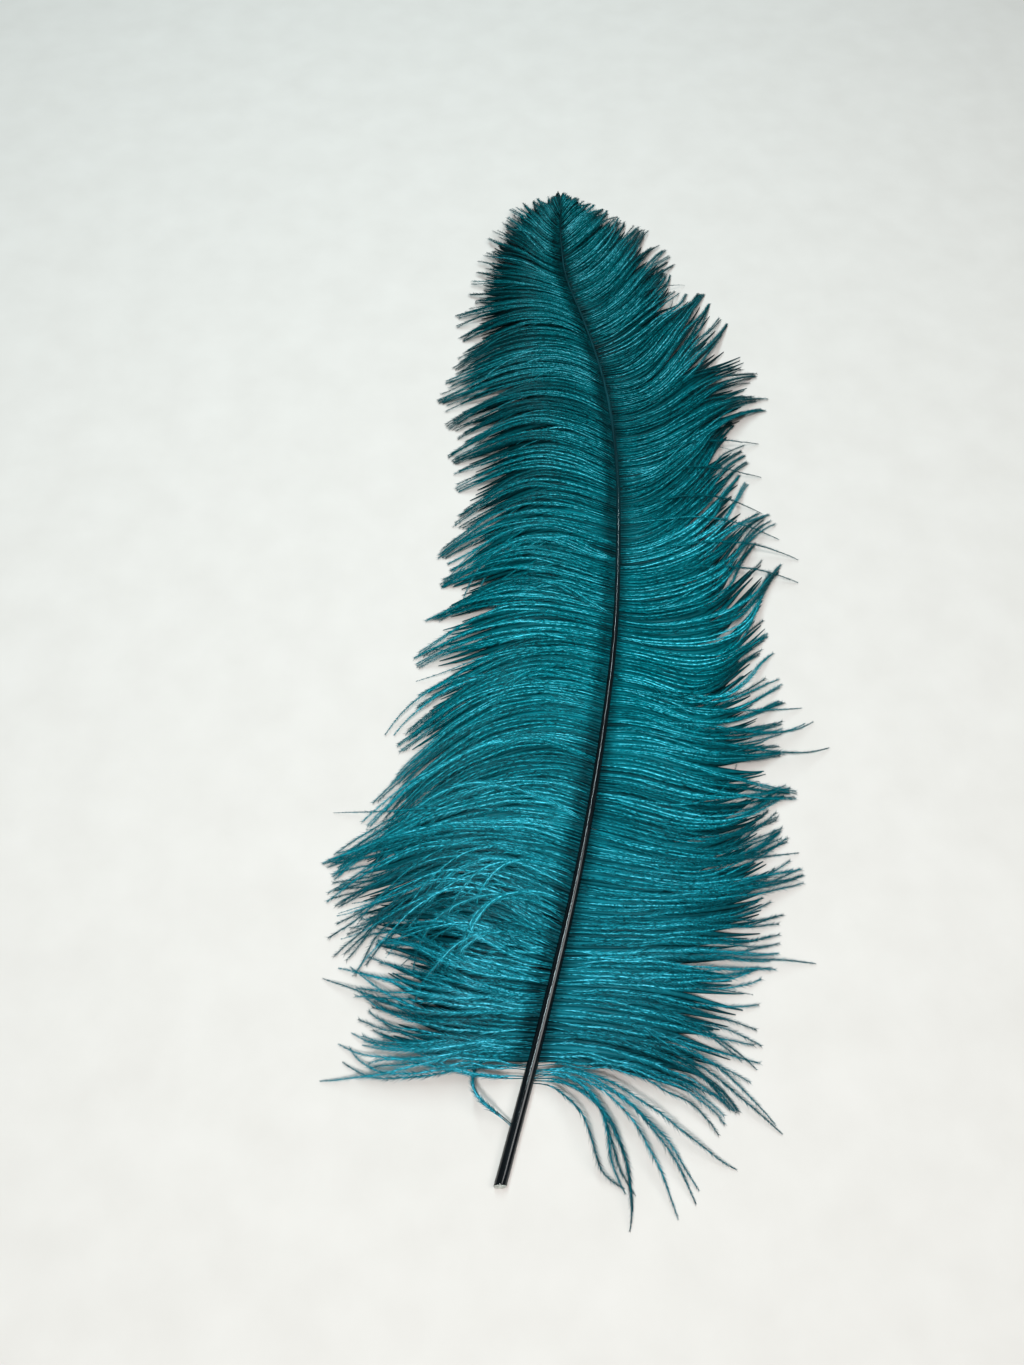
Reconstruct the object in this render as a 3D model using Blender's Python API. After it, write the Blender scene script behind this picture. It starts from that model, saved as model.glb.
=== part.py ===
"""An ostrich plume lying on a table: one shaft with a soft vane of barbs on each side.

Lengths are in metres. The tip points to +Y, the top faces +Z, and the table is the plane z = 0.
Every table of stations gives values against the distance along Y from the cut end of the quill.
"""

import bmesh
import bpy
import numpy as np

# Plan of the shaft's centreline, from the cut end to the tip.
SHAFT_LENGTH = 0.600
SHAFT_X = ((0.000, 0.0000), (0.060, 0.0174), (0.130, 0.0356), (0.190, 0.0478),
           (0.250, 0.0570), (0.310, 0.0619), (0.360, 0.0637), (0.430, 0.0586),
           (0.480, 0.0484), (0.520, 0.0390), (0.550, 0.0370), (0.600, 0.0378))
# Height of the centreline above the table.
SHAFT_Z = ((0.000, 0.0027), (0.060, 0.0052), (0.180, 0.0088), (0.400, 0.0084),
           (0.520, 0.0062), (0.600, 0.0036))
# Diameter of the shaft, which tapers from the quill to a whisker at the tip.
SHAFT_DIAMETER = ((0.000, 0.0054), (0.050, 0.0050), (0.180, 0.0038), (0.330, 0.0026),
                  (0.480, 0.0015), (0.600, 0.0006))
SHAFT_SIDES = 14
SHAFT_RINGS = 40

# The quill is cut a little slanted, and is hollow for a few millimetres behind the cut.
CUT_SLANT = 0.20
RIM_BEVEL = 0.0003
HOLLOW_SHARE = 0.70
HOLLOW_DEPTH = 0.0045
PITH_DOME = 0.0008
PITH_TOP_SHARE, PITH_EDGE_SHARE = 0.25, 0.75

# The vanes, from their first barbs above the bare quill to just short of the tip.
# Each edge gives, for a barb rooted at the first number, the X and Y of its outer end.
VANE_START = 0.040
VANE_END = 0.592
VANE_SECTIONS = 44
RIGHT_EDGE = ((0.040, 0.0920, 0.0180), (0.090, 0.1150, 0.0840), (0.150, 0.1310, 0.1500),
              (0.220, 0.1470, 0.2250), (0.290, 0.1480, 0.3150), (0.345, 0.1460, 0.3880),
              (0.390, 0.1500, 0.4350), (0.415, 0.1420, 0.4760), (0.450, 0.1280, 0.5060),
              (0.480, 0.1080, 0.5400), (0.510, 0.0860, 0.5670), (0.550, 0.0670, 0.5830),
              (0.592, 0.0430, 0.5960))
LEFT_EDGE = ((0.040, -0.0500, 0.0440), (0.070, -0.0730, 0.0820), (0.110, -0.0780, 0.1080),
             (0.160, -0.0740, 0.1420), (0.220, -0.0540, 0.2050), (0.290, -0.0430, 0.2850),
             (0.400, -0.0420, 0.3940), (0.470, -0.0270, 0.4720), (0.510, -0.0180, 0.5350),
             (0.550, 0.0080, 0.5820), (0.592, 0.0320, 0.5960))
GAP = 0.0003

# Section of a vane: it rises from the shaft, arches over, and comes down to a flat foot.
ROOT_ABOVE = 0.0010
ROOT_BELOW = 0.0014
ARCH_RISE = ((0.040, 0.0060), (0.100, 0.0085), (0.250, 0.0090), (0.450, 0.0085),
             (0.560, 0.0050), (0.592, 0.0015))
ARCH_THICKNESS = 0.0042
EDGE_THICKNESS = 0.0020
UNDERSIDE_LOWEST = 0.0008
SHOULDER_AT, CREST_AT, SLOPE_AT, FOOT_AT = 0.22, 0.45, 0.74, 0.70
SHOULDER_SHARE = 0.72
SLOPE_SHARE = 0.52

QUILL_BLACK = (0.012, 0.014, 0.015, 1.0)
BARB_TEAL = (0.006, 0.085, 0.100, 1.0)
QUILL_ROUGHNESS, BARB_ROUGHNESS = 0.2, 0.75
SMOOTH_ANGLE = 0.6


def smooth(stations, at):
    """Values of a smooth curve through the stations, at the given distances."""
    place, value = np.array(stations).T
    slope = np.gradient(value, place)
    at = np.clip(at, place[0], place[-1])
    i = np.clip(np.searchsorted(place, at, side="right") - 1, 0, len(place) - 2)
    step = place[i + 1] - place[i]
    t = (at - place[i]) / step
    rise = (2 * t**3 - 3 * t**2 + 1) * value[i] + (3 * t**2 - 2 * t**3) * value[i + 1]
    turn = (t**3 - 2 * t**2 + t) * slope[i] + (t**3 - t**2) * slope[i + 1]
    return rise + step * turn


def tube(rings):
    """A closed body through rings of equal size, with a flat cap on its first and last ring."""
    bm = bmesh.new()
    made = [[bm.verts.new(point) for point in ring] for ring in rings]
    for ring, after in zip(made, made[1:]):
        for i, corner in enumerate(ring):
            beside = (i + 1) % len(ring)
            bm.faces.new((corner, ring[beside], after[beside], after[i]))
    bm.faces.new(made[0][::-1])
    bm.faces.new(made[-1])
    bmesh.ops.recalc_face_normals(bm, faces=bm.faces)
    return bm


def shaft_rings():
    """Rings of the shaft, from the pith inside the quill, out over the cut rim, to the tip."""
    turn = np.linspace(0, 2 * np.pi, SHAFT_SIDES, endpoint=False)
    round_x, round_z = np.cos(turn), np.sin(turn)

    def ring(y, share, shift):
        """One ring round the centreline, share of full size and shifted along the shaft."""
        radius = share * smooth(SHAFT_DIAMETER, y) / 2
        slant = CUT_SLANT * max(0.0, 1 - y / HOLLOW_DEPTH)
        x = smooth(SHAFT_X, y) + radius * round_x
        z = smooth(SHAFT_Z, y) + radius * round_z
        return np.column_stack((x, y + shift + slant * radius * round_z, z))

    wall_share = 1 - 2 * RIM_BEVEL / smooth(SHAFT_DIAMETER, 0.0)
    inside = [
        ring(HOLLOW_DEPTH, PITH_TOP_SHARE * HOLLOW_SHARE, -PITH_DOME),
        ring(HOLLOW_DEPTH, PITH_EDGE_SHARE * HOLLOW_SHARE, -PITH_DOME / 3),
        ring(HOLLOW_DEPTH, HOLLOW_SHARE, 0.0),
        ring(0.0, HOLLOW_SHARE, 0.0),
    ]
    rim = [ring(0.0, wall_share, 0.0), ring(RIM_BEVEL, 1.0, 0.0)]
    along = np.concatenate((
        [HOLLOW_DEPTH],
        np.linspace(HOLLOW_DEPTH, SHAFT_LENGTH, SHAFT_RINGS)[1:],
    ))
    return inside + rim + [ring(y, 1.0, 0.0) for y in along]


def vane_rings(edge, side):
    """Sections of one vane, side +1 for the right one and -1 for the left one."""
    roots, edge_x, edge_y = np.array(edge).T
    rings = []
    for root in np.linspace(VANE_START, VANE_END, VANE_SECTIONS):
        height, rise = smooth(SHAFT_Z, root), smooth(ARCH_RISE, root)
        crest, shoulder = height + rise, height + SHOULDER_SHARE * rise
        inner_x = smooth(SHAFT_X, root) + side * (smooth(SHAFT_DIAMETER, root) / 2 + GAP)
        reach_x = smooth(np.column_stack((roots, edge_x)), root) - inner_x
        reach_y = smooth(np.column_stack((roots, edge_y)), root) - root
        section = (
            (0.0, height + ROOT_ABOVE),
            (SHOULDER_AT, shoulder),
            (CREST_AT, crest),
            (SLOPE_AT, EDGE_THICKNESS + SLOPE_SHARE * (crest - EDGE_THICKNESS)),
            (1.0, EDGE_THICKNESS),
            (1.0, 0.0),
            (FOOT_AT, 0.0),
            (CREST_AT, max(crest - ARCH_THICKNESS, EDGE_THICKNESS)),
            (SHOULDER_AT, max(shoulder - ARCH_THICKNESS, UNDERSIDE_LOWEST)),
            (0.0, max(height - ROOT_BELOW, UNDERSIDE_LOWEST)),
        )
        rings.append([
            (inner_x + share * reach_x, root + share * reach_y, z) for share, z in section
        ])
    return rings


def material(name, colour, roughness):
    made = bpy.data.materials.new(name)
    made.use_nodes = True
    shader = made.node_tree.nodes["Principled BSDF"]
    shader.inputs["Base Color"].default_value = colour
    shader.inputs["Roughness"].default_value = roughness
    made.diffuse_color = colour
    return made


def add(name, bm, surface):
    mesh = bpy.data.meshes.new(name)
    bmesh.ops.triangulate(bm, faces=bm.faces)
    bm.to_mesh(mesh)
    bm.free()
    mesh.shade_smooth()
    mesh.set_sharp_from_angle(angle=SMOOTH_ANGLE)
    mesh.materials.append(surface)
    made = bpy.data.objects.new(name, mesh)
    bpy.context.scene.collection.objects.link(made)
    return made


def centre_on_base(parts):
    """Moves all the parts together, so that the origin is under the middle of their box."""
    points = np.array([v.co for part in parts for v in part.data.vertices])
    low, high = points.min(axis=0), points.max(axis=0)
    shift = np.array([(low[0] + high[0]) / 2, (low[1] + high[1]) / 2, low[2]])
    for part in parts:
        for vertex in part.data.vertices:
            vertex.co -= type(vertex.co)(shift)


def main():
    for old in list(bpy.data.objects):
        bpy.data.objects.remove(old)
    quill = material("quill", QUILL_BLACK, QUILL_ROUGHNESS)
    barbs = material("barbs", BARB_TEAL, BARB_ROUGHNESS)
    centre_on_base([
        add("shaft", tube(shaft_rings()), quill),
        add("left_vane", tube(vane_rings(LEFT_EDGE, -1)), barbs),
        add("right_vane", tube(vane_rings(RIGHT_EDGE, 1)), barbs),
    ])


main()
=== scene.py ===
"""An ostrich plume dyed deep teal, lying on a pale table.

A black quill carries two loose vanes. Each vane is some hundreds of barbs, and each barb is a
flat strand fringed with short barbules. Lengths are in metres, and the plans below are measured
from the cut end of the quill, with Y towards the tip.
"""

import math

import bpy
import numpy as np
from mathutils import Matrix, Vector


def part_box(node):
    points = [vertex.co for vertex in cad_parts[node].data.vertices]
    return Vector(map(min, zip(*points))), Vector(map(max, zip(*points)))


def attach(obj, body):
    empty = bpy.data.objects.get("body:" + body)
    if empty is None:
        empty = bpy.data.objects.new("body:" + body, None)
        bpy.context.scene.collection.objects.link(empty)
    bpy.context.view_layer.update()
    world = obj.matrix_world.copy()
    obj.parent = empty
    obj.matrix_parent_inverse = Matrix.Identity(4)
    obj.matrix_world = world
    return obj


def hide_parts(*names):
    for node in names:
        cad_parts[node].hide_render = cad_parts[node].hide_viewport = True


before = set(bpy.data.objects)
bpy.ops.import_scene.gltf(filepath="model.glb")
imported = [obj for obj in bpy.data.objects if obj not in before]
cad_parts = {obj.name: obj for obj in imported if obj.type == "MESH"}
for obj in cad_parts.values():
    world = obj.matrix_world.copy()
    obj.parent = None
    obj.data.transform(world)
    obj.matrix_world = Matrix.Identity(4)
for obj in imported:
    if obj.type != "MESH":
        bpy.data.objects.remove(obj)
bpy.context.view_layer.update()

# The shaft as the frame has it: plan, height and diameter against Y.
SHAFT_LENGTH = 0.600
SHAFT_X = ((0.000, 0.0000), (0.060, 0.0174), (0.130, 0.0356), (0.190, 0.0478),
           (0.250, 0.0570), (0.310, 0.0619), (0.360, 0.0637), (0.430, 0.0586),
           (0.480, 0.0484), (0.520, 0.0390), (0.550, 0.0370), (0.600, 0.0378))
SHAFT_Z = ((0.000, 0.0027), (0.060, 0.0052), (0.180, 0.0088), (0.400, 0.0084),
           (0.520, 0.0062), (0.600, 0.0036))
SHAFT_DIAMETER = ((0.000, 0.0054), (0.050, 0.0050), (0.180, 0.0038), (0.330, 0.0026),
                  (0.480, 0.0015), (0.600, 0.0006))
CUT_SLANT = 0.20
HOLLOW_SHARE = 0.70
HOLLOW_DEPTH = 0.0045
RIM_BEVEL = 0.0003
WALL_SHARE = 1 - 2 * RIM_BEVEL / SHAFT_DIAMETER[0][1]

# How the barbs lie, by where they leave the shaft: length in millimetres, then the direction in
# degrees at the root, at one and two thirds of the way, and at the tip. 0 points straight out
# sideways and 90 points to the feather's tip. The rows are few and round; a smooth curve through
# them gives the barbs between.
RIGHT_LIE = ((0.040, 75, 5, -5, -10, -20), (0.060, 85, -5, -10, -15, -20),
             (0.090, 90, -5, 0, 0, 5), (0.120, 100, -15, -5, 15, 30),
             (0.150, 95, -20, -20, 20, 35), (0.190, 90, -5, -20, 5, 20),
             (0.230, 100, -20, -25, 40, 45), (0.260, 110, -25, 10, 55, 55),
             (0.290, 100, -15, 25, 55, 45), (0.330, 110, -10, 45, 60, 45),
             (0.370, 105, -15, 30, 45, 25), (0.400, 115, -15, 40, 50, 45),
             (0.420, 120, -20, 55, 65, 70), (0.450, 90, 0, 40, 55, 60),
             (0.480, 90, 5, 50, 65, 60), (0.510, 80, 5, 50, 70, 70),
             (0.540, 55, 15, 45, 65, 65), (0.570, 30, 30, 45, 60, 65),
             (0.600, 3, 70, 75, 80, 80))
LEFT_LIE = ((0.040, 60, 0, 5, 10, 20), (0.060, 80, 0, 0, 10, 25),
            (0.080, 80, 0, 15, 30, 25), (0.100, 105, 25, 20, -20, -10),
            (0.130, 115, 15, 5, -10, -10), (0.170, 120, 20, -15, -25, -45),
            (0.210, 115, 15, -10, -30, -40), (0.240, 100, 10, -5, -10, -10),
            (0.270, 95, 5, 10, 0, -10), (0.310, 95, 10, 5, -15, -30),
            (0.350, 90, 15, 10, -5, -15), (0.390, 95, 25, 5, -5, -15),
            (0.430, 95, 25, -5, -10, -20), (0.470, 80, 20, 0, 0, -15),
            (0.500, 65, 5, 10, 30, 30), (0.530, 60, -10, 40, 55, 55),
            (0.560, 40, 5, 55, 65, 70), (0.580, 20, 45, 70, 75, 80),
            (0.600, 3, 75, 80, 85, 85))
# Barbs that have come away from the rest, one alone or a few stuck together: side, root, then
# their lie as above, how many millimetres they float above the others, and how many there are.
LOOSE_BARBS = ((1, 0.365, 90, 0, 5, 20, 10, 2, 1), (1, 0.350, 90, 0, 0, 15, 15, 3, 1),
               (1, 0.330, 95, 0, 0, 10, -5, 3, 1), (1, 0.320, 90, -5, -5, 10, 0, 2, 1),
               (1, 0.300, 95, -5, 0, 10, -5, 3, 1), (1, 0.285, 95, -5, 0, 10, -5, 2, 1),
               (1, 0.210, 100, -10, -10, 10, 15, 2, 1), (1, 0.200, 105, -5, -10, 5, 35, 2, 2),
               (1, 0.195, 105, -5, -15, 0, 20, 2, 1), (1, 0.130, 105, -5, 0, 10, 20, 1, 1),
               (1, 0.090, 105, 0, -5, 0, -5, 1, 1), (1, 0.072, 95, 0, -10, -30, -50, 2, 1),
               (1, 0.064, 100, 0, -15, -30, -45, 2, 2), (1, 0.057, 100, 0, -10, -30, -25, 2, 1),
               (1, 0.043, 85, 5, -25, -40, -35, 2, 1), (1, 0.042, 85, 10, -30, -45, -60, 2, 2),
               (1, 0.041, 70, 10, -40, -75, -40, 2, 2), (1, 0.040, 80, 15, -35, -60, -80, 3, 1),
               (1, 0.039, 80, 5, -40, -65, -70, 2, 2), (1, 0.038, 60, 0, -50, -75, -20, 1, 1),
               (-1, 0.022, 35, 40, 35, 80, 150, 1, 2), (-1, 0.240, 95, 15, -5, -5, 25, 4, 2),
               (-1, 0.260, 90, 25, 20, 0, -55, 3, 3), (-1, 0.205, 115, 20, 15, -15, -60, 3, 3),
               (-1, 0.230, 100, 10, -20, -15, -45, 4, 3), (-1, 0.295, 90, 5, 10, -25, -75, 4, 4),
               (-1, 0.220, 100, 10, -5, -45, -50, 4, 3), (-1, 0.305, 95, 10, 5, -15, -45, 3, 3),
               (-1, 0.180, 85, 20, 5, -20, -40, 3, 3), (-1, 0.150, 110, 30, 10, -30, -65, 3, 3),
               (-1, 0.118, 100, 30, 10, -35, -80, 4, 3), (-1, 0.105, 90, 35, 0, -40, -95, 3, 2),
               (-1, 0.112, 85, 25, -20, -70, -40, 4, 2), (-1, 0.125, 90, 25, -10, -60, -90, 4, 2),
               (-1, 0.092, 85, 30, -5, -45, -70, 3, 2), (-1, 0.085, 70, 0, 25, 25, 20, 3, 2),
               (-1, 0.080, 80, -10, 10, 35, 40, 4, 2), (-1, 0.074, 90, -5, -5, 25, 15, 3, 1),
               (-1, 0.066, 95, 0, -5, 20, 20, 3, 2), (-1, 0.060, 75, -10, 5, 10, 40, 2, 1),
               (-1, 0.053, 75, 10, -10, 5, 30, 2, 2), (-1, 0.048, 85, 15, -10, 0, 25, 2, 2),
               (-1, 0.044, 90, 5, -10, -5, 35, 1, 2), (-1, 0.040, 60, 0, 5, 20, 15, 1, 2))
# How far the middle of a barb stands above its root.
ARCH_RISE = ((0.040, 0.0060), (0.100, 0.0085), (0.250, 0.0090), (0.450, 0.0085),
             (0.560, 0.0050), (0.600, 0.0015))
# A barb's height: the share of the rise that it has reached, and how far it has come down from
# the shaft's own height to the table's.
ARCH_PROFILE = ((0.00, 0.00, 0.00), (0.08, 0.28, 0.00), (0.25, 0.78, 0.00), (0.45, 1.00, 0.00),
                (0.70, 0.66, 0.32), (0.88, 0.22, 0.74), (1.00, 0.00, 1.00))
# A barb's tip ends at TIP_HEIGHT, and higher by TIP_LIFT near the tip of the feather. No barb's
# middle line comes below LEAST_HEIGHT, and nothing at all comes below LOWEST_POINT.
TIP_HEIGHT, TIP_LIFT = 0.0012, 0.0030
TIP_LIFT_STARTS, TIP_LIFT_ENDS = 0.46, 0.56
LEAST_HEIGHT = 0.0006
LOWEST_POINT = 0.0001

# Places where a vane has parted and shows what lies below: side, root, how many degrees the
# barbs beside it turn away from it, and over what length of shaft.
PARTINGS = ((1, 0.453, 12, 0.008), (1, 0.398, 7, 0.007), (1, 0.355, 5, 0.006),
            (1, 0.322, 8, 0.007), (1, 0.290, 5, 0.005), (1, 0.262, 7, 0.006),
            (1, 0.243, 6, 0.005), (1, 0.218, 6, 0.005), (1, 0.203, 6, 0.005),
            (1, 0.187, 7, 0.005), (1, 0.160, 6, 0.006), (1, 0.146, 6, 0.005),
            (1, 0.130, 6, 0.005), (1, 0.115, 6, 0.005), (1, 0.100, 5, 0.005),
            (1, 0.088, 5, 0.004), (1, 0.079, 6, 0.004), (1, 0.066, 9, 0.004),
            (1, 0.053, 6, 0.004), (1, 0.485, 4, 0.004), (1, 0.515, 4, 0.004),
            (-1, 0.484, 7, 0.006), (-1, 0.462, 4, 0.004), (-1, 0.430, 6, 0.006),
            (-1, 0.395, 5, 0.006), (-1, 0.350, 5, 0.006), (-1, 0.312, 6, 0.006),
            (-1, 0.275, 6, 0.006), (-1, 0.236, 5, 0.006), (-1, 0.160, 5, 0.006),
            (-1, 0.100, 8, 0.006), (-1, 0.080, 6, 0.005), (-1, 0.058, 7, 0.004))
# A parting that turns the barbs this far has lost some of them as well.
BARE_PARTING = 9

BARB_POINTS = 21
FIRST_BARB, LAST_BARB = 0.040, 0.599
BARB_SPACING, UNDER_SPACING = 0.0017, 0.0016
# From here to the feather's tip the barbs stand closer.
CLOSER_FROM, CLOSER_SHARE = 0.46, 0.7
# Where each vane is divided into pieces.
STRETCHES = (0.0, 0.165, 0.290, 0.415, 1.0)
# The barbs below the others start higher up the shaft and are lower, shorter and more orderly.
UNDER_START, UNDER_LIFT, UNDER_LENGTH, UNDER_MESS = 0.007, -0.0030, 0.86, 0.15
# How far along the shaft their directions are evened out, on the right and on the left.
UNDER_EVENED = {1: 0.008, -1: 0.014}

# Neighbouring barbs stick together as strands, and strands as locks: least and most barbs in one.
STRAND_SIZE, LOCK_SIZE = (2, 3), (5, 11)
# How far a barb is moved by the random numbers of its lock, of its strand, and its own: degrees
# turned at the tip, share of its length, metres of height, and brightness.
TURNS = (7.0, 8.0, 6.0)
LENGTHS = (0.035, 0.035, 0.045)
HEIGHTS = (0.0011, 0.0007, 0.0004)
TONES = (0.13, 0.18, 0.18)
# Waves along a barb: how many, how much that number varies, and degrees of swing.
LONG_WAVE = (1.6, 0.4, 2.2)
SHORT_WAVE = (4.2, 0.6, 4.0)
# Where the barbs are wilder: side or 0 for both, root, over what length, and how much wilder.
WILD_PLACES = ((-1, 0.095, 0.035, 1.8), (1, 0.090, 0.050, 0.5), (0, 0.040, 0.014, 1.8))
LOOSE_MESS = 0.35
# Where a barb leaves the shaft, as shares of its diameter out from and above its middle.
ROOT_OUT, ROOT_UP = 0.42, 0.15

# Half the width of a barb in millimetres, against the share of its length.
UPPER_GIRTH = ((0, 0.20), (0.05, 0.22), (0.15, 0.30), (0.35, 0.36), (0.65, 0.34), (0.9, 0.24),
               (1, 0.10))
UNDER_GIRTH = ((0, 1.2), (0.1, 1.4), (0.3, 1.7), (0.7, 1.5), (1, 0.25))
LOOSE_GIRTH = ((0, 0.22), (0.1, 0.29), (0.5, 0.34), (0.85, 0.22), (1, 0.05))
# Length of the barbules as a share of the longest, against the share of the barb's length.
UPPER_FRINGE = ((0, 1), (0.3, 1), (0.8, 0.85), (1, 0.5))
LOOSE_FRINGE = ((0, 0.9), (0.7, 0.8), (1, 0.2))
# Radians by which the strands are rolled outwards, on the vanes and on the loose barbs.
UPPER_LEAN, LOOSE_LEAN = 0.35, 0.3

# Painted shade: the right vane is darkened towards its outer edge, and the left one above
# LEFT_SHADE_FROM and round the swirl of curled barbs low down.
RIGHT_SHADE, LEFT_SHADE = 0.30, 0.50
LEFT_SHADE_FROM, LEFT_SHADE_FULL = 0.26, 0.42
SWIRL_ROOT, SWIRL_WIDTH = 0.10, 0.03
# Metres added to a barb's distance from the shaft before it is coloured. The painted shade
# beside the shaft is narrower on the right and wider on the left.
PAINTED_SHAFT_SHADE_SHIFT = {1: 0.001, -1: -0.0025}


def smooth(stations, at):
    """Values of a smooth curve through the stations: the first column against the others."""
    table = np.asarray(stations, float)
    place, value = table[:, 0], table[:, 1:]
    slope = np.gradient(value, place, axis=0)
    at = np.clip(np.asarray(at, float), place[0], place[-1])
    i = np.clip(np.searchsorted(place, at, side="right") - 1, 0, len(place) - 2)
    step = (place[i + 1] - place[i])[..., None]
    t = (at - place[i])[..., None] / step
    rise = (2 * t**3 - 3 * t**2 + 1) * value[i] + (3 * t**2 - 2 * t**3) * value[i + 1]
    turn = (t**3 - 2 * t**2 + t) * slope[i] + (t**3 - t**2) * slope[i + 1]
    found = rise + step * turn
    return found[..., 0] if found.shape[-1] == 1 else found


def straight(stations, at):
    """Values of the straight lines that join the stations."""
    return np.interp(at, *zip(*stations))


def ease(low, high, t):
    """0 below low, 1 above high, smooth between."""
    share = np.clip((t - low) / (high - low), 0, 1)
    return share * share * (3 - 2 * share)


# The cut end of the quill in the frame, from which the plans above are measured.
LOW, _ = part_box("shaft")
BUTT = np.array([LOW.x + SHAFT_DIAMETER[0][1] / 2,
                 LOW.y + CUT_SLANT * SHAFT_DIAMETER[0][1] / 2, 0.0])


# ---------------------------------------------------------------- how the barbs lie

def groups(count, least, most, draw):
    """Numbers the barbs by group, each group holding from least to most neighbours."""
    sizes = draw.integers(least, most + 1, count)
    return np.repeat(np.arange(count), sizes)[:count]


def gather(paths, group, hold):
    """Draws the paths of each group together, hold being how tightly at each point."""
    total = np.zeros((group.max() + 1, *paths.shape[1:]))
    np.add.at(total, group, paths)
    leader = (total / np.bincount(group)[:, None, None])[group]
    return paths + (leader - paths) * hold[..., None]


def wave(kind, t, varied, start):
    """The degrees by which a wave of one kind turns a barb at each point."""
    number, varies, swing = kind
    return swing * np.sin(2 * np.pi * (number + varies * varied) * t + 3 * start)


def barb_paths(lie, side, roots, draw, mess=1.0, lift=0.0, reach_share=1.0, evened=0.0):
    """Centrelines of barbs, one row of points each, before they gather into locks."""
    count = len(roots)
    t = np.linspace(0, 1, BARB_POINTS)
    plan = sum(smooth(lie, roots + shift) for shift in (-evened, 0.0, evened)) / 3
    length, knots = plan[:, 0] / 1000 * reach_share, plan[:, 1:]
    stations = np.array((0, 1 / 3, 2 / 3, 1))
    angle = smooth(np.column_stack((stations, knots.T)), t).T
    for parted, place, turned, width in PARTINGS:
        if parted == side:
            away = roots - place
            opening = turned * np.sign(away) * np.exp(-np.abs(away) / width)
            angle = angle + opening[:, None] * ease(0.30 + 30 * evened, 0.80, t)
    lock = groups(count, *LOCK_SIZE, draw)
    strand = groups(count, *STRAND_SIZE, draw)
    per_lock = draw.normal(size=(count, 3))[lock]
    per_strand = draw.normal(size=(count, 3))[strand]
    per_barb = np.clip(draw.normal(size=(count, 6)), -2.2, 2.2)
    wildness = 1
    for wild_side, place, width, wilder in WILD_PLACES:
        if wild_side in (0, side):
            wildness = wildness + wilder * np.exp(-((roots - place) / width) ** 2)
    wildness = (mess * wildness)[:, None]
    angle = angle + wildness * (TURNS[0] * per_lock[:, :1] * t**3
                                + TURNS[1] * per_strand[:, :1] * t**3
                                + TURNS[2] * per_barb[:, :1] * t**2)
    length = length * np.clip(0.985 + LENGTHS[0] * per_lock[:, 1] + LENGTHS[1] * per_strand[:, 1]
                              + LENGTHS[2] * per_barb[:, 1], 0.80, 1.06)
    waves = (wave(LONG_WAVE, t, per_strand[:, 2:], per_strand[:, :1])
             + wave(SHORT_WAVE, t, per_barb[:, 2:3], per_barb[:, 3:4]))
    heading = np.radians(angle + waves * wildness)
    step = length[:, None] / (BARB_POINTS - 1)
    middle = (heading[:, 1:] + heading[:, :-1]) / 2
    run = np.zeros((count, BARB_POINTS, 2))
    run[:, 1:, 0] = np.cumsum(side * np.cos(middle) * step, axis=1)
    run[:, 1:, 1] = np.cumsum(np.sin(middle) * step, axis=1)
    thick = smooth(SHAFT_DIAMETER, roots)
    base = smooth(SHAFT_Z, roots)
    rise = smooth(ARCH_RISE, roots)
    shape = smooth(ARCH_PROFILE, t)
    height = base[:, None] * (1 - shape[:, 1]) + rise[:, None] * shape[:, 0]
    tip_height = TIP_HEIGHT + TIP_LIFT * ease(TIP_LIFT_STARTS, TIP_LIFT_ENDS, roots)
    height += tip_height[:, None] * shape[:, 1]
    flutter = np.sin(np.pi * t) ** 0.8
    rough = (HEIGHTS[0] * per_lock[:, 2:] + HEIGHTS[1] * per_strand[:, 2:]
             + HEIGHTS[2] * per_barb[:, 4:5])
    height += flutter * (mess * np.maximum(rough, -0.0012) + lift)
    paths = np.empty((count, BARB_POINTS, 3))
    paths[..., 0] = (smooth(SHAFT_X, roots) + side * ROOT_OUT * thick)[:, None] + run[..., 0]
    paths[..., 1] = roots[:, None] + run[..., 1]
    paths[..., 2] = height + ROOT_UP * thick[:, None] * (1 - t)
    tone = (0.5 + TONES[0] * per_lock[:, 0] + TONES[1] * per_strand[:, 1]
            + TONES[2] * per_barb[:, 5])
    return paths, lock, strand, np.clip(tone, 0, 1), t, length


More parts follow.
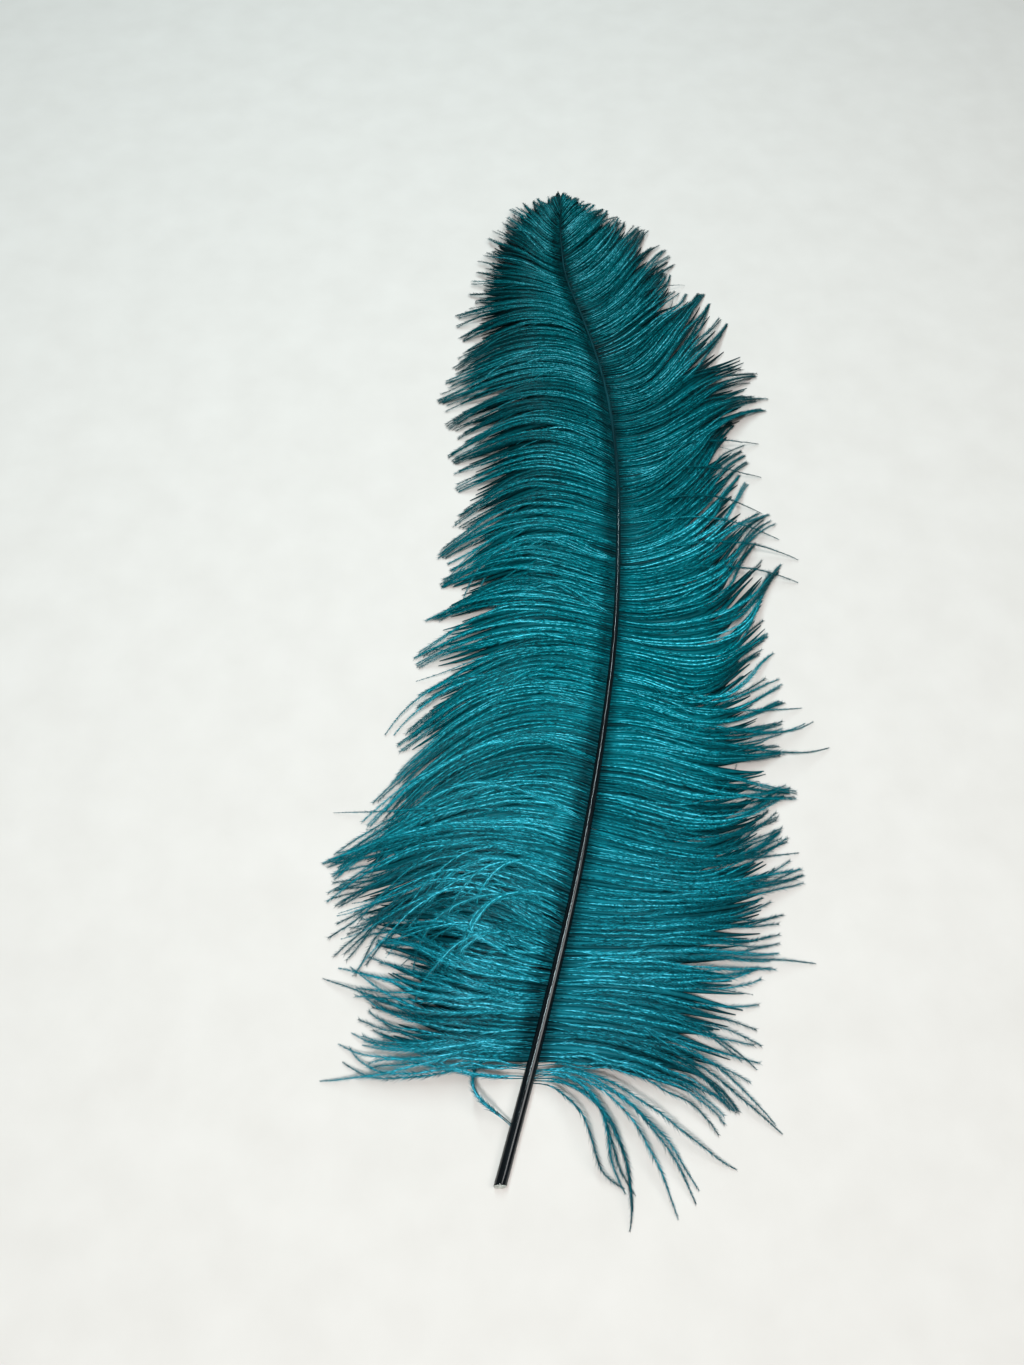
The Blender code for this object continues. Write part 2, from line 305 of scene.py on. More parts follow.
def vane(lie, side, seed, spacing=BARB_SPACING, under=False):
    """The barbs of one vane, with all that a strand needs at each of its points."""
    draw = np.random.default_rng(seed)
    roots = np.concatenate((np.arange(FIRST_BARB + UNDER_START * under, CLOSER_FROM, spacing),
                            np.arange(CLOSER_FROM, LAST_BARB, CLOSER_SHARE * spacing)))
    loosely = 0.15 if under else 0.4
    roots = roots + draw.uniform(-loosely, loosely, len(roots)) * spacing
    if not under:
        bare = 0.55 * (1 - ease(0.038, 0.060, roots))
        for parted, place, turned, _ in PARTINGS:
            if parted == side and turned >= BARE_PARTING:
                bare = np.maximum(bare, 0.75 * np.exp(-((roots - place) / 0.004) ** 2))
        roots = roots[draw.random(len(roots)) > bare]
    paths, lock, strand, tone, t, length = barb_paths(
        lie, side, roots, draw, mess=UNDER_MESS if under else 1.0,
        lift=UNDER_LIFT if under else 0.0, reach_share=UNDER_LENGTH if under else 1.0,
        evened=UNDER_EVENED[side] * under)
    tight = draw.uniform(0.60, 0.98, len(roots))[:, None]
    if not under:
        tufted = (0.75 + 0.25 * ease(0.24, 0.32, roots) * (side > 0)
                  - 0.45 * ease(0.44, 0.50, roots)
                  - 0.35 * (1 - ease(0.13, 0.20, roots)))[:, None]
        paths = gather(paths, strand, tufted * tight * ease(0.25, 0.85, t))
        paths = gather(paths, lock, 0.80 * tufted * tight * ease(0.50, 1.05, t))
    paths[..., 2] = np.maximum(paths[..., 2], LEAST_HEIGHT)
    girth = straight(UNDER_GIRTH if under else UPPER_GIRTH, t) / 1000
    girth = girth * draw.uniform(0.75, 1.2, len(roots))[:, None]
    unruly = 0.0 if under else draw.normal(size=(len(roots), 1)) * 0.30 + 0.5 * (t - 0.5)
    lean = side * UPPER_LEAN + unruly + 0 * t
    reach = length[:, None] * t
    fringe = ease(0.0015, 0.010, reach) * straight(UPPER_FRINGE, t)
    reach = reach + PAINTED_SHAFT_SHADE_SHIFT[side]
    # Painted shade, taken off the barbs' tone.
    if side > 0:
        painted_shade = RIGHT_SHADE * ease(0.40, 0.90, t)
    else:
        swirl = np.exp(-((roots - SWIRL_ROOT) / SWIRL_WIDTH) ** 2)
        painted_shade = (LEFT_SHADE * ease(LEFT_SHADE_FROM, LEFT_SHADE_FULL, roots)
                  + LEFT_SHADE * swirl)[:, None] * ease(0.1, 0.7, t)
    return {"paths": paths, "girth": girth, "lean": lean, "tone": tone[:, None] - painted_shade,
            "roots": roots, "reach": reach, "fringe": fringe, "along": t[None],
            "station": (roots / SHAFT_LENGTH)[:, None]}


def single_barbs(rows, seed):
    """Barbs that lie one by one on top of the others, each as its own row says."""
    draw = np.random.default_rng(seed)
    found = []
    t = np.linspace(0, 1, BARB_POINTS)
    for side, root, length, *lie, lift, together in rows:
        for number in range(together):
            turned = number * draw.normal(size=4) * (1.0, 1.2, 1.4, 4.0)
            row = (length * (1 - 0.09 * number), *(np.array(lie) + turned))
            roots = np.array([root + 0.0006 * number])
            paths, _, _, tone, _, whole = barb_paths(
                ((0.0, *row), (1.0, *row)), side, roots, draw, mess=LOOSE_MESS,
                lift=(lift * ease(0.15, 0.50, t) - 1.5 * (1 - ease(0.10, 0.40, t))) / 1000)
            found.append((paths, tone, whole, roots, side))
    paths, tone, length, roots = (np.concatenate([f[k] for f in found]) for k in range(4))
    paths[..., 2] = np.maximum(paths[..., 2], LEAST_HEIGHT)
    side = np.array([f[4] for f in found])[:, None]
    girth = straight(LOOSE_GIRTH, t) / 1000
    reach = length[:, None] * t
    return {"paths": paths, "girth": np.broadcast_to(girth, reach.shape),
            "lean": side * LOOSE_LEAN + 0 * reach,
            # Painted shade: loose barbs on the right are darkened along their length; those on
            # the left are made lighter.
            "tone": np.clip(tone[:, None] - (0.15 + 0.30 * side) * ease(0.1, 0.5, t), 0, 1),
            "roots": roots, "reach": reach,
            "fringe": ease(0.002, 0.010, reach) * straight(LOOSE_FRINGE, t),
            "along": t[None], "station": (roots / SHAFT_LENGTH)[:, None]}


def strays(lie, side, count, seed, low=0.05, high=0.55):
    """Rows for barbs that leave the shaft between low and high and cross their neighbours."""
    draw = np.random.default_rng(seed)
    rows = []
    for root in draw.uniform(low, high, count):
        length, *angles = smooth(lie, root)
        turn = draw.normal() * 13 + side * draw.uniform(-6, 10)
        bends = np.array((0.0, 0.25, 0.8, 1.3)) * turn
        rows.append((side, root, length * draw.uniform(0.72, 0.98),
                     *(np.array(angles) + bends), draw.uniform(1.0, 3.0), 1))
    return rows


def choose(barbs, keep):
    """Those barbs for which keep is true."""
    count = len(barbs["roots"])
    return {key: value[keep] if len(value) == count else value
            for key, value in barbs.items()}


# ---------------------------------------------------------------- strands from their lines

POINT_FACTS = ("girth", "lean", "fringe", "along", "reach", "tone", "station", "lane")


def line_mesh(name, barbs):
    """A mesh of open lines, one for each barb, with its facts kept on the points."""
    paths = barbs["paths"] + BUTT
    count, points = paths.shape[:2]
    mesh = bpy.data.meshes.new(name)
    mesh.vertices.add(count * points)
    mesh.vertices.foreach_set("co", paths.ravel().astype(np.float32))
    first = (np.arange(count)[:, None] * points + np.arange(points - 1)).ravel()
    mesh.edges.add(len(first))
    mesh.edges.foreach_set("vertices", np.column_stack((first, first + 1)).ravel())
    barbs = dict(barbs, lane=((np.arange(count) + 0.5) / count)[:, None])
    for key in POINT_FACTS:
        values = np.broadcast_to(barbs[key], (count, points)).ravel()
        made = mesh.attributes.new(key, "FLOAT", "POINT")
        made.data.foreach_set("value", values.astype(np.float32))
    heading = np.gradient(paths, axis=1)
    heading /= np.linalg.norm(heading, axis=2, keepdims=True)
    made = mesh.attributes.new("heading", "FLOAT_VECTOR", "POINT")
    made.data.foreach_set("vector", heading.ravel().astype(np.float32))
    mesh.update()
    return mesh


class Wiring:
    """Ways to add nodes that geometry, shader groups and materials share."""

    def node(self, kind, inputs=(), out=0, **settings):
        """The output of a node whose settings are made and whose inputs are linked or set."""
        made = self.tree.nodes.new(kind)
        for key, value in settings.items():
            setattr(made, key, value)
        for key, value in dict(inputs).items():
            if isinstance(value, bpy.types.NodeSocket):
                self.tree.links.new(value, made.inputs[key])
            else:
                made.inputs[key].default_value = value
        return made if out is None else made.outputs[out]

    def noise(self, place, scale, detail):
        """Soft random spots, about 0.5 in the middle."""
        return self.node("ShaderNodeTexNoise",
                         {"Vector": place, "Scale": scale, "Detail": detail})

    def ranged(self, value, given, wanted, **settings):
        """The value moved from the given range of numbers to the wanted one."""
        return self.node("ShaderNodeMapRange", {
            "Value": value, "From Min": given[0], "From Max": given[1],
            "To Min": wanted[0], "To Max": wanted[1]}, **settings)

    def ramp(self, factor, stops):
        """A colour that changes with the factor, through the colours at its stops."""
        made = self.tree.nodes.new("ShaderNodeValToRGB")
        elements = made.color_ramp.elements
        while len(elements) < len(stops):
            elements.new(0.5)
        for element, (place, colour) in zip(elements, stops):
            element.position = place
            element.color = (*colour, 1.0)
        self.tree.links.new(factor, made.inputs[0])
        return made.outputs[0]


class Tree(Wiring):
    """A node tree, for geometry or a shader group, with named inputs."""

    def __init__(self, name, kind="GeometryNodeTree"):
        self.tree = bpy.data.node_groups.new(name, kind)
        self.sockets = {}
        self.input = self.tree.nodes.new("NodeGroupInput")
        self.output = self.tree.nodes.new("NodeGroupOutput")

    def takes(self, name, kind, value=None):
        """A named input of the tree."""
        made = self.tree.interface.new_socket(
            name, in_out="INPUT", socket_type="NodeSocket" + kind)
        if value is not None:
            made.default_value = value
        self.sockets[name] = made.identifier
        return self.input.outputs[name]

    def gives(self, name, kind, socket):
        """Sends a socket out of the tree under a name."""
        self.tree.interface.new_socket(
            name, in_out="OUTPUT", socket_type="NodeSocket" + kind)
        self.tree.links.new(socket, self.output.inputs[name])

    def math(self, operation, *values):
        """The result of one operation on numbers."""
        return self.node("ShaderNodeMath", dict(enumerate(values)), operation=operation)

    def vector(self, operation, *values, **named):
        """The result of one operation on vectors."""
        return self.node("ShaderNodeVectorMath", {**dict(enumerate(values)), **named},
                         operation=operation)

    def scaled(self, vector, by):
        """The vector made longer or shorter."""
        return self.vector("SCALE", vector, Scale=by)

    def chance(self, low, high, seed):
        """A random number for each point."""
        return self.node("FunctionNodeRandomValue", {2: low, 3: high, 8: seed}, out=1,
                         data_type="FLOAT")

    def fact(self, name, kind="FLOAT"):
        """What the lines keep on their points under this name."""
        return self.node("GeometryNodeInputNamedAttribute", {"Name": name}, data_type=kind)


def barb_tree():
    """Sweeps a flat strand along each line and fringes both its edges with barbules."""
    made = Tree("barbs_and_barbules")
    lines = made.takes("Lines", "Geometry")
    spacing = made.takes("Barbule Spacing", "Float", 0.0006)
    length = made.takes("Barbule Length", "Float", 0.0036)
    width = made.takes("Barbule Width", "Float", 0.00015)
    spread = made.takes("Barbule Spread", "Float", 0.36)
    flatness = made.takes("Strand Flatness", "Float", 0.75)
    seed = made.takes("Seed", "Int", 1)
    surface = made.takes("Material", "Material")

    curves = made.node("GeometryNodeMeshToCurve", {"Mesh": lines})
    upright = made.node("GeometryNodeSetCurveNormal", {"Curve": curves}, mode="Z_UP")
    leaning = made.node("GeometryNodeSetCurveTilt",
                        {"Curve": upright, "Tilt": made.fact("lean")})
    ring = made.node("GeometryNodeCurvePrimitiveCircle", {"Resolution": 3, "Radius": 1.0})
    ridged = made.node("GeometryNodeTransform", {
        "Geometry": ring, "Rotation": (0.0, 0.0, -math.pi / 2),
        "Scale": made.node("ShaderNodeCombineXYZ", {"X": flatness, "Y": 1.0, "Z": 1.0})})
    strands = made.node("GeometryNodeCurveToMesh", {
        "Curve": leaning, "Profile Curve": ridged, "Scale": made.fact("girth"),
        "Fill Caps": True})
    strands = made.node("GeometryNodeStoreNamedAttribute", {
        "Geometry": strands, "Name": "core", "Value": 1.0}, data_type="FLOAT", domain="POINT")

    points = made.node("GeometryNodeCurveToPoints", {"Curve": curves, "Length": spacing},
                       mode="LENGTH")
    heading = made.fact("heading", "FLOAT_VECTOR")
    shift = made.scaled(heading, made.math("MULTIPLY", spacing, made.chance(-0.5, 0.5, seed)))
    points = made.node("GeometryNodeSetPosition", {"Geometry": points, "Offset": shift})
    needle = made.node("GeometryNodeMeshCone", {
        "Vertices": 3, "Radius Top": 0.0, "Radius Bottom": 1.0, "Depth": 1.0},
        fill_type="NONE")
    across = made.vector("NORMALIZE", made.vector("CROSS_PRODUCT", heading, (0.0, 0.0, 1.0)))
    above = made.vector("CROSS_PRODUCT", across, heading)
    fringe = made.fact("fringe")
    opening = made.math("MULTIPLY", spread,
                        made.math("MULTIPLY_ADD", made.fact("along"), 0.7, 0.7))
    parts = [strands]
    for side in (1.0, -1.0):
        offset = made.math("ADD", seed, 10.0 + side)
        turn = made.math("MULTIPLY", opening, made.chance(0.6, 1.5, offset))
        raised = made.chance(-0.5, 0.5, made.math("ADD", offset, 5.0))
        outward = made.vector("ADD",
                              made.scaled(across, made.math("MULTIPLY", side,
                                                            made.math("COSINE", raised))),
                              made.scaled(above, made.math("SINE", raised)))
        direction = made.vector("ADD",
                                made.scaled(heading, made.math("COSINE", turn)),
                                made.scaled(outward, made.math("SINE", turn)))
        rotation = made.node("FunctionNodeAxesToRotation", {
            "Primary Axis": direction, "Secondary Axis": above},
            primary_axis="Z", secondary_axis="Y")
        reach = made.math("MULTIPLY", made.math("MULTIPLY", length, fringe),
                          made.chance(0.7, 1.3, made.math("ADD", offset, 9.0)))
        size = made.node("ShaderNodeCombineXYZ", {
            "X": width, "Y": made.math("MULTIPLY", width, 0.4), "Z": reach})
        barbules = made.node("GeometryNodeInstanceOnPoints", {
            "Points": points, "Instance": needle, "Rotation": rotation, "Scale": size,
            "Selection": made.math("GREATER_THAN", fringe, 0.05)})
        tone = made.math("ADD", made.fact("tone"),
                         made.chance(-0.48, 0.44, made.math("ADD", offset, 13.0)))
        parts.append(made.node("GeometryNodeStoreNamedAttribute", {
            "Geometry": barbules, "Name": "tone", "Value": tone},
            data_type="FLOAT", domain="INSTANCE"))
    joined = made.node("GeometryNodeJoinGeometry", out=None)
    for part in reversed(parts):
        made.tree.links.new(part, joined.inputs[0])
    realized = made.node("GeometryNodeRealizeInstances", {"Geometry": joined.outputs[0]})
    painted = made.node("GeometryNodeSetMaterial",
                        {"Geometry": realized, "Material": surface})
    made.gives("Geometry", "Geometry", painted)
    return made


BARB_TREE = barb_tree()


def grown(name, barbs, surface, **values):
    """A piece of barbs and barbules, as a plain mesh with a map along and across the barbs."""
    lines = bpy.data.objects.new(name + "_lines", line_mesh(name, barbs))
    bpy.context.scene.collection.objects.link(lines)
    modifier = lines.modifiers.new("barbs", "NODES")
    modifier.node_group = BARB_TREE.tree
    for key, value in dict(values, Material=surface).items():
        modifier[BARB_TREE.sockets[key.replace("_", " ")]] = value
    graph = bpy.context.evaluated_depsgraph_get()
    mesh = bpy.data.meshes.new_from_object(
        lines.evaluated_get(graph), preserve_all_data_layers=True, depsgraph=graph)
    lines.modifiers.remove(modifier)
    bpy.data.objects.remove(lines)
    mesh.name = name
    place = np.empty(3 * len(mesh.vertices), np.float32)
    mesh.vertices.foreach_get("co", place)
    place[2::3] = np.maximum(place[2::3], LOWEST_POINT)
    mesh.vertices.foreach_set("co", place)
    piece = bpy.data.objects.new(name, mesh)
    bpy.context.scene.collection.objects.link(piece)
    along, lane = (fact_of(mesh, key) for key in ("along", "lane"))
    corner = np.empty(len(mesh.loops), np.int32)
    mesh.loops.foreach_get("vertex_index", corner)
    uv = mesh.uv_layers.new(name="OFBake")
    uv.uv.foreach_set("vector", np.column_stack((along[corner], lane[corner])).ravel())
    return piece


def fact_of(mesh, key):
    """A fact that the mesh keeps on its points, as one row of numbers."""
    values = np.empty(len(mesh.vertices), np.float32)
    mesh.attributes[key].data.foreach_get("value", values)
    return values


# ---------------------------------------------------------------- finishes

class Finish(Wiring):
    """A material being wired up around its Principled shader."""

    def __init__(self, name, **settings):
        self.material = bpy.data.materials.new(name)
        self.material.use_nodes = True
        self.tree = self.material.node_tree
        self.shader = self.tree.nodes["Principled BSDF"]
        for key, value in settings.items():
            self.shader.inputs[key.replace("_", " ")].default_value = value

    def feed(self, key, socket):
        """Links a socket to one of the shader's own."""
        self.tree.links.new(socket, self.shader.inputs[key])


# The teal colour from the cut end to the tip, and the pale tint of the painted highlight on the
# brightest barbules.
DYE_ALONG_SHAFT = ((0.00, (0.006, 0.132, 0.172)), (0.14, (0.007, 0.188, 0.238)),
                   (0.38, (0.0008, 0.182, 0.220)), (0.68, (0.0006, 0.118, 0.139)),
                   (1.00, (0.0004, 0.098, 0.112)))
PAINTED_HIGHLIGHT_TINT = (0.085, 0.056, 0.080)
# Most of a noise lies between these two values.
NOISE_RANGE = (0.3, 0.7)


def dye_and_light_group():
    """Teal colouring: dyed richest in the middle of the plume and darker towards the edges, with
    painted shade by the shaft and painted highlights on the barbs.
    """
    made = Tree("teal_dye_and_painted_light", "ShaderNodeTree")
    along = made.takes("Along", "Float", 0.5)
    reach = made.takes("Reach", "Float", 0.05)
    tone = made.takes("Tone", "Float", 0.5)
    station = made.takes("Station", "Float", 0.5)
    core = made.takes("Core", "Float", 0.0)
    strength = made.takes("Strength", "Float", 1.0)
    crimping = made.takes("Crimping", "Float", 1.0)

    def own_noise(across, between, on, detail):
        """Spots that follow the barbs: how close along one, by its tone, and up the shaft."""
        own_place = made.node("ShaderNodeCombineXYZ", {
            "X": made.math("MULTIPLY", reach, across), "Y": made.math("MULTIPLY", tone, between),
            "Z": made.math("MULTIPLY", station, on)})
        return made.noise(own_place, 1.0, detail)

    shade = made.ramp(station, DYE_ALONG_SHAFT)
    lit = made.ranged(tone, (0.0, 1.0), (0.42, 1.62))
    downy = made.ranged(station, (0.34, 0.16), (0.0, 1.0))
    # Painted highlight: the barb cores are brighter than their barbules, a little less so low on
    # the plume.
    painted_core_highlight = made.ranged(core, (0.0, 1.0), (made.math("MULTIPLY_ADD", downy, 0.10, 0.72),
                                           made.math("MULTIPLY_ADD", downy, -0.22, 1.60)))
    # Painted shade: barbs are darkened over their first few millimetres from the shaft.
    painted_shaft_shade = made.ranged(reach, (0.001, 0.008), (0.32, 1.0), interpolation_type="SMOOTHSTEP")
    outer = made.ranged(along, (0.45, 1.0), (1.0, 0.62))
    patchy = made.ranged(own_noise(75.0, 37.0, 900.0, 1.5), NOISE_RANGE, (0.74, 1.26))
    # Painted light and shade: short bright and dark dashes along the barbs, as their crimp would
    # catch the light; less of it towards the tips.
    painted_crimp_light = made.ranged(own_noise(620.0, 91.0, 1700.0, 1.0), NOISE_RANGE, (-0.75, 0.75))
    by_tip = made.ranged(along, (0.6, 1.0), (1.0, 0.3))
    painted_crimp_light = made.math("MULTIPLY_ADD", painted_crimp_light, made.math("MULTIPLY", by_tip, crimping), 1.0)
    place = made.node("ShaderNodeTexCoord", out="Object")
    cloudy = made.ranged(made.noise(place, 24.0, 3.0), NOISE_RANGE, (0.82, 1.18))
    total = made.math("MULTIPLY", made.math("MULTIPLY", lit, painted_shaft_shade),
                      made.math("MULTIPLY", outer, cloudy))
    total = made.math("MULTIPLY", total, made.math("MULTIPLY", painted_core_highlight, patchy))
    total = made.math("MULTIPLY", total, made.math("MULTIPLY", painted_crimp_light, strength))
    # Painted highlight: the pale tint is added where the barbs are painted brightest.
    highlight_share = made.ranged(total, (1.4, 3.4), (0.0, 1.0))
    made.gives("Colour", "Color", made.vector("ADD", made.scaled(shade, total),
                                              made.scaled(PAINTED_HIGHLIGHT_TINT, highlight_share)))
    return made


DYE_AND_LIGHT = dye_and_light_group()


def barb_finish(name, strength, crimping):
    """Dyed colour with painted light on barbs and barbules; a lower strength paints shade over it
    all, and the crimping sets how much painted crimp light shows.
    """
    made = Finish(name, Roughness=0.36, Specular_IOR_Level=0.045)
    facts = {key: made.node("ShaderNodeAttribute", out="Fac", attribute_name=fact)
             for key, fact in (("Along", "along"), ("Reach", "reach"), ("Tone", "tone"),
                               ("Station", "station"), ("Core", "core"))}
    # The group gives the dyed colour with painted light and shade on it.
    dye_and_light = made.node("ShaderNodeGroup", out=None, node_tree=DYE_AND_LIGHT.tree)
    for key, socket in facts.items():
        made.tree.links.new(socket, dye_and_light.inputs[key])
    dye_and_light.inputs["Strength"].default_value = strength
    dye_and_light.inputs["Crimping"].default_value = crimping
    made.feed("Base Color", dye_and_light.outputs["Colour"])
    return made.material


def quill_finish():
    """Dyed black horn: glossy and faintly streaked along its length, dull teal by the tip."""
    made = Finish("black_quill", Roughness=0.22, Specular_IOR_Level=0.5)
    place = made.node("ShaderNodeTexCoord", out="Object")
    height = made.node("ShaderNodeSeparateXYZ", {"Vector": place}, out="Y")
    fine = made.node("ShaderNodeMapping", {"Vector": place, "Scale": (900.0, 22.0, 900.0)})
    streak = made.noise(fine, 1.0, 2.0)
    upper = made.ranged(height, (-0.06, 0.12), (0.0, 1.0), interpolation_type="SMOOTHSTEP")
    body = made.ramp(upper, ((0.0, (0.0022, 0.0035, 0.0045)), (1.0, (0.0020, 0.028, 0.034))))
    marks = made.ranged(streak, NOISE_RANGE, (0.6, 1.6))
    made.feed("Base Color", made.node("ShaderNodeVectorMath", {0: body, "Scale": marks},
                                      operation="SCALE"))
    made.feed("Roughness", made.ranged(streak, (0.3, 0.75), (0.06, 0.13)))
    bump = made.node("ShaderNodeBump", {"Height": streak, "Strength": 0.08,
                                        "Distance": 0.0002})
    made.feed("Normal", bump)
    return made.material


def horn_finish():
    """Bare pale horn and pith, seen only where the quill is cut."""
    made = Finish("cut_horn", Roughness=0.5, Specular_IOR_Level=0.4)
    place = made.node("ShaderNodeTexCoord", out="Object")
    grain = made.noise(place, 1800.0, 3.0)
    made.feed("Base Color", made.ramp(grain, ((0.3, (0.30, 0.33, 0.30)),
                                              (0.7, (0.62, 0.62, 0.56)))))
    bump = made.node("ShaderNodeBump", {"Height": grain, "Strength": 0.4, "Distance": 0.0002})
    made.feed("Normal", bump)
    return made.material


# ---------------------------------------------------------------- the quill

QUILL_SIDES = 28
QUILL_RINGS = 160
# How far the ridge on top stands up, as a share of the radius, and its half width in radians.
RIDGE = ((0.00, 0.00), (0.10, 0.00), (0.19, 0.05), (0.30, 0.06), (0.60, 0.06))
RIDGE_WIDTH = 0.45
# Rings from the middle of the pith out to the rim: place along the shaft, share of the radius,
# and how far the ring is pushed along.
CUT_RINGS = ((HOLLOW_DEPTH, 0.02, -0.0010), (HOLLOW_DEPTH, 0.35, -0.0008),
             (HOLLOW_DEPTH, 0.62, -0.0001), (HOLLOW_DEPTH, HOLLOW_SHARE - 0.01, 0.0006),
             (0.0022, HOLLOW_SHARE, 0.0), (0.0004, HOLLOW_SHARE, 0.0),
             (0.0, HOLLOW_SHARE + 0.03, 0.0), (0.0, 0.5 * (HOLLOW_SHARE + WALL_SHARE), 0.0),
             (0.0, WALL_SHARE - 0.02, 0.0))


def quill():
    """The shaft: a round hollow quill at the cut, faintly ridged along its top above."""
    turn = np.linspace(0, 2 * np.pi, QUILL_SIDES, endpoint=False)

    def ring(y, share, shift=0.0):
        """One ring round the middle of the shaft."""
        slant = CUT_SLANT * max(0.0, 1 - y / HOLLOW_DEPTH)
        radius = smooth(SHAFT_DIAMETER, y) / 2
        topward = np.exp(-(((turn - np.pi / 2) / RIDGE_WIDTH) ** 2))
        size = share * radius * (1 + smooth(RIDGE, y) * topward)
        x = smooth(SHAFT_X, y) + size * np.cos(turn)
        z = smooth(SHAFT_Z, y) + size * np.sin(turn)
        return np.column_stack((x, y + shift + slant * size * np.sin(turn), z))

    inside = [ring(*row) for row in CUT_RINGS]
    along = np.concatenate(([RIM_BEVEL, 0.0008, 0.002, HOLLOW_DEPTH],
                            np.linspace(HOLLOW_DEPTH, SHAFT_LENGTH, QUILL_RINGS)[1:]))
    rings = np.array(inside + [ring(y, 1.0) for y in along]) + BUTT
    count = len(rings)
    index = np.arange(count * QUILL_SIDES).reshape(count, QUILL_SIDES)
    after = np.roll(index, -1, axis=1)
    quads = np.stack((index[:-1], after[:-1], after[1:], index[1:]), axis=-1).reshape(-1, 4)
    faces = [list(map(int, q)) for q in quads]
    faces.append([int(i) for i in index[0][::-1]])
    faces.append([int(i) for i in index[-1]])
    mesh = bpy.data.meshes.new("quill")
    mesh.from_pydata(rings.reshape(-1, 3), [], faces)
    mesh.materials.append(quill_finish())
    mesh.materials.append(horn_finish())
    pale = np.zeros(len(faces), np.int32)
    pale[:len(inside) * QUILL_SIDES] = 1
    pale[-2] = 1
    mesh.polygons.foreach_set("material_index", pale)
    mesh.polygons.foreach_set("use_smooth", np.ones(len(faces), bool))
    mesh.update()
    piece = bpy.data.objects.new("quill", mesh)
    bpy.context.scene.collection.objects.link(piece)
    return piece


# ---------------------------------------------------------------- putting it together

surface = barb_finish("teal_barbs", 1.0, 1.0)
# Partly real, partly painted: the barbs below are real barbs, coloured at a third of the strength
# as painted shade from the barbs above, and without crimp light.
shadowed = barb_finish("teal_underlayer_painted_shade", 0.34, 0.0)
pieces = []
for label, lie, side, seed in (("right", RIGHT_LIE, 1, 5), ("left", LEFT_LIE, -1, 8)):
    barbs = vane(lie, side, seed)
    for number, (low, high) in enumerate(zip(STRETCHES, STRETCHES[1:]), 1):
        part = choose(barbs, (barbs["roots"] >= low) & (barbs["roots"] < high))
        piece = grown(f"{label}_barbs_{number}", part, surface, Seed=seed + 20 * number)
        pieces.append((piece, label + "_vane"))
    below = vane(lie, side, seed + 100, spacing=UNDER_SPACING, under=True)
    below["fringe"] = 0 * below["fringe"]
    piece = grown(f"{label}_under_barbs", below, shadowed, Seed=seed, Strand_Flatness=0.12)
    pieces.append((piece, label + "_vane"))

loose = grown("loose_barbs", single_barbs(LOOSE_BARBS, 31), surface, Seed=3,
              Barbule_Spacing=0.0005, Barbule_Spread=0.34, Barbule_Width=0.00016,
              Barbule_Length=0.0044)
crossing = [*strays(RIGHT_LIE, 1, 30, 41), *strays(LEFT_LIE, -1, 40, 42),
            *strays(LEFT_LIE, -1, 34, 43, 0.070, 0.140)]
stray = grown("stray_barbs", single_barbs(crossing, 32), surface, Seed=4,
              Barbule_Spacing=0.0010)
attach(stray, "root")
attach(loose, "root")

for piece, node in pieces:
    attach(piece, "root")
    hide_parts(node)

shaft = quill()
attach(shaft, "root")
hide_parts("shaft")


# ---------------------------------------------------------------- table, light and camera

TABLE_HALF = 4.0
WHITE = (1.0, 1.0, 1.0)
# Name, place, the point it faces, width, length of a strip or none for a disc, watts, colour.
LIGHTS = (("broad_light", (0.75, -0.25, 1.5), (0.0, 0.0, 0.0), 0.9, None, 9.0, WHITE),
          ("lamp", (-0.12, -0.62, 1.25), (0.0, -0.05, 0.0), 0.16, None, 13.0, WHITE),
          ("strip_light", (-0.16, 0.47, 1.25), (-0.16, 0.47, 0.0), 0.035, 1.3, 16.0,
           (0.74, 0.95, 1.0)))
ROOM_COLOUR, ROOM_STRENGTH = (0.86, 0.90, 0.95, 1.0), 0.10
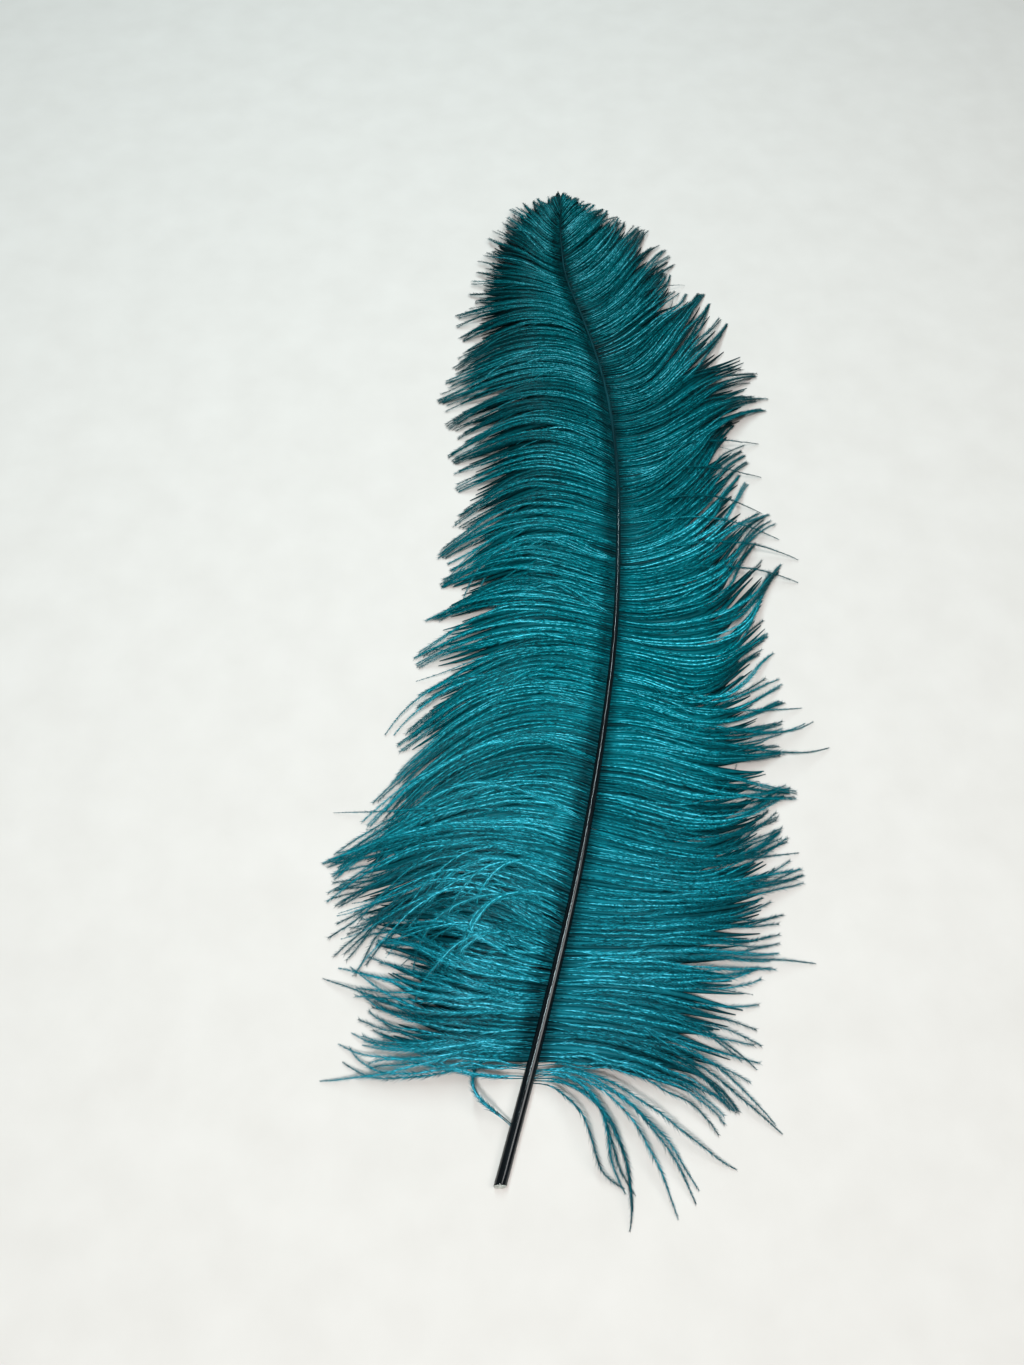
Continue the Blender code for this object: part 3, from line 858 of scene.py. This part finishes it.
# The camera is above the cut end, given from there, and is turned CAMERA_TILT degrees from
# straight down towards the feather's tip.
CAMERA_PLACE = (0.0048, -0.0068, 0.4407)
CAMERA_TILT = 28.0
SENSOR_WIDTH, FOCAL_LENGTH = 36.0, 26.0


def table():
    """A flat pale table, with a faint grain."""
    made = Finish("pale_table", Roughness=0.7, Specular_IOR_Level=0.25)
    place = made.node("ShaderNodeTexCoord", out="Object")
    grain = made.noise(place, 40.0, 4.0)
    made.feed("Base Color", made.ramp(grain, ((0.2, (0.56, 0.515, 0.48)),
                                              (0.8, (0.60, 0.555, 0.52)))))
    half = TABLE_HALF
    mesh = bpy.data.meshes.new("table")
    mesh.from_pydata([(-half, -half, 0), (half, -half, 0), (half, half, 0), (-half, half, 0)],
                     [], [(0, 1, 2, 3)])
    mesh.materials.append(made.material)
    floor = bpy.data.objects.new("table", mesh)
    bpy.context.scene.collection.objects.link(floor)


def area_light(name, place, aim, size, length, power, colour):
    """A lit disc, or a strip along Y when it has a length, turned from place towards aim."""
    light = bpy.data.lights.new(name, "AREA")
    light.shape, light.size, light.energy = "DISK", size, power
    light.color = colour
    if length is not None:
        light.shape, light.size_y = "RECTANGLE", length
    lamp = bpy.data.objects.new(name, light)
    bpy.context.scene.collection.objects.link(lamp)
    lamp.location = place
    side, ahead, down = (to - start for to, start in zip(aim, place))
    lamp.rotation_euler = (math.atan2(ahead, math.hypot(side, down)),
                           math.atan2(-side, -down), 0.0)


table()
for light_settings in LIGHTS:
    area_light(*light_settings)

world = bpy.data.worlds.new("room")
world.use_nodes = True
world.node_tree.nodes["Background"].inputs["Color"].default_value = ROOM_COLOUR
world.node_tree.nodes["Background"].inputs["Strength"].default_value = ROOM_STRENGTH
bpy.context.scene.world = world
bpy.context.scene.view_settings.view_transform = "Standard"

lens = bpy.data.cameras.new("camera")
lens.sensor_width, lens.lens = SENSOR_WIDTH, FOCAL_LENGTH
lens.clip_start, lens.clip_end = 0.01, 20.0
camera = bpy.data.objects.new("camera", lens)
camera.location = BUTT + np.array(CAMERA_PLACE)
camera.rotation_euler = (math.radians(CAMERA_TILT), 0.0, 0.0)
bpy.context.scene.collection.objects.link(camera)
bpy.context.scene.camera = camera
